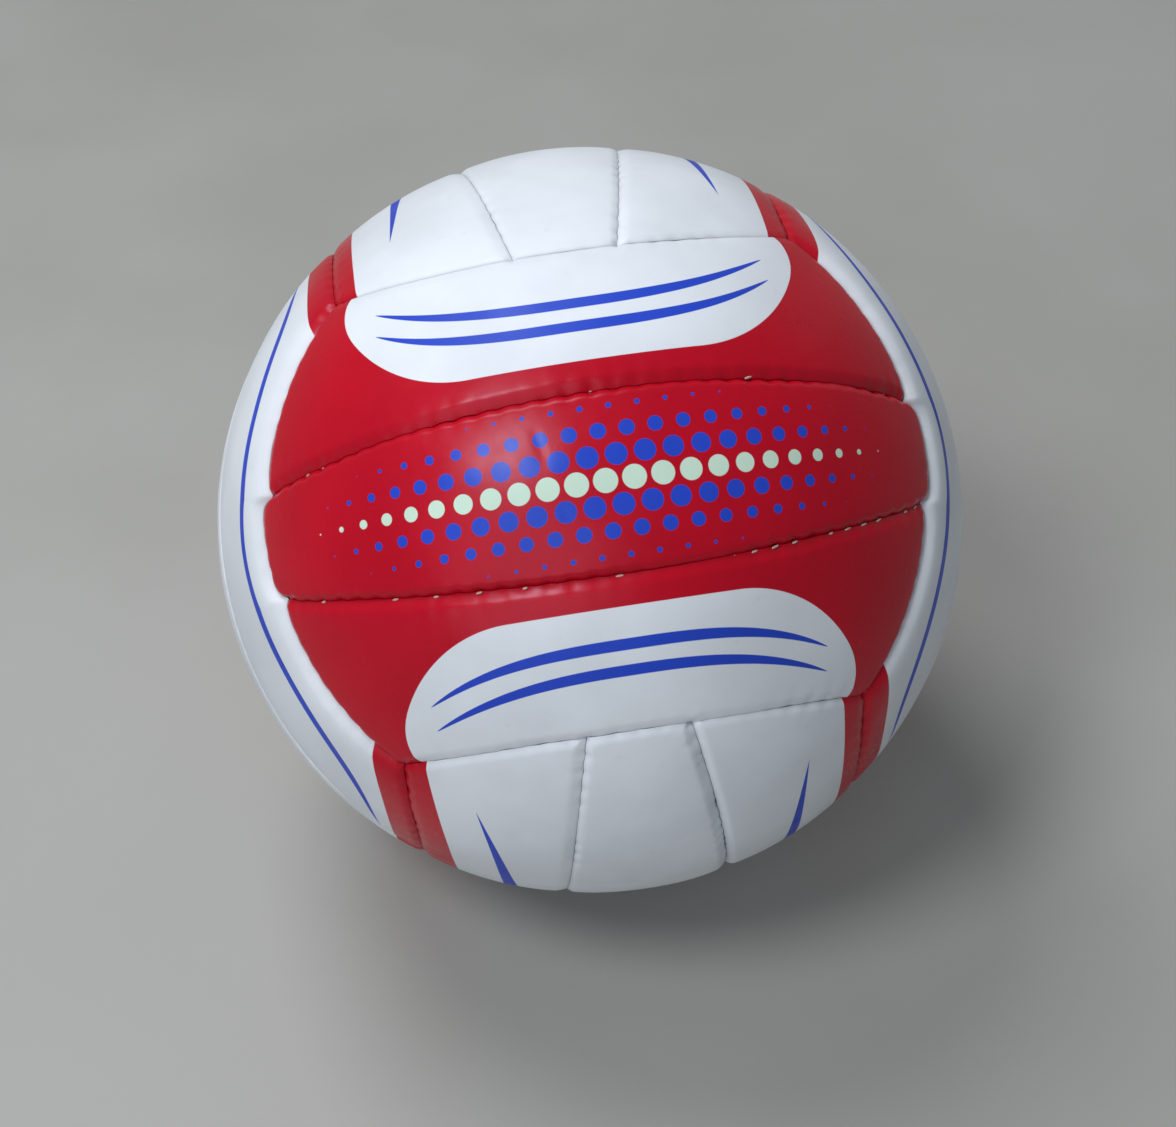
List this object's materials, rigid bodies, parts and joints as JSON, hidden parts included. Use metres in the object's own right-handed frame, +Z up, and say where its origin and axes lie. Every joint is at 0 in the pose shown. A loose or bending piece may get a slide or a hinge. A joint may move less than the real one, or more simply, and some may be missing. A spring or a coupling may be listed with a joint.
{
  "type": "volleyball",
  "caption": "Inflatable ball of stitched strip panels over a cloth lining, with seam threads, a rubber bladder and a needle valve.",
  "frame": {"origin": "centre of the ball", "axes": "+Z up as the ball lies on the floor, -Y towards the viewer, +X to the viewer's right"},
  "size_m": [0.21, 0.21, 0.2099],
  "materials": {
    "cover_red": "glossy red soft PVC cover over foam",
    "cover_white": "satin white soft PVC cover over foam, printed",
    "lining_cloth": "plain woven cotton-polyester lining",
    "seam_thread": "waxed polyester sewing thread",
    "bladder_rubber": "thin butyl rubber",
    "valve_rubber": "moulded butyl rubber",
    "core_rubber": "soft moulded rubber"
  },
  "bodies": {
    "root": {"front_upper_panel": "cover_white", "front_centre_panel": "cover_red", "front_lower_panel": "cover_white", "back_upper_panel": "cover_white", "back_centre_panel": "cover_red", "back_lower_panel": "cover_white", "right_front_panel": "cover_white", "right_centre_panel": "cover_white", "right_back_panel": "cover_white", "left_back_panel": "cover_white", "left_centre_panel": "cover_white", "left_front_panel": "cover_white", "top_left_panel": "cover_white", "top_centre_panel": "cover_white", "top_right_panel": "cover_white", "bottom_right_panel": "cover_white", "bottom_centre_panel": "cover_white", "bottom_left_panel": "cover_white", "front_upper_lining": "lining_cloth", "front_centre_lining": "lining_cloth", "front_lower_lining": "lining_cloth", "back_upper_lining": "lining_cloth", "back_centre_lining": "lining_cloth", "back_lower_lining": "lining_cloth", "right_front_lining": "lining_cloth", "right_centre_lining": "lining_cloth", "right_back_lining": "lining_cloth", "left_back_lining": "lining_cloth", "left_centre_lining": "lining_cloth", "left_front_lining": "lining_cloth", "top_left_lining": "lining_cloth", "top_centre_lining": "lining_cloth", "top_right_lining": "lining_cloth", "bottom_right_lining": "lining_cloth", "bottom_centre_lining": "lining_cloth", "bottom_left_lining": "lining_cloth", "front_strip_thread": "seam_thread", "back_strip_thread": "seam_thread", "right_strip_thread": "seam_thread", "left_strip_thread": "seam_thread", "top_strip_thread": "seam_thread", "bottom_strip_thread": "seam_thread", "front_right_thread": "seam_thread", "front_left_thread": "seam_thread", "back_left_thread": "seam_thread", "back_right_thread": "seam_thread", "right_top_thread": "seam_thread", "right_bottom_thread": "seam_thread", "left_top_thread": "seam_thread", "left_bottom_thread": "seam_thread", "top_back_thread": "seam_thread", "top_front_thread": "seam_thread", "bottom_back_thread": "seam_thread", "bottom_front_thread": "seam_thread", "bladder": "bladder_rubber", "valve_housing": "valve_rubber", "valve_core": "core_rubber", "valve_patch": "lining_cloth"}
  },
  "joints": []
}
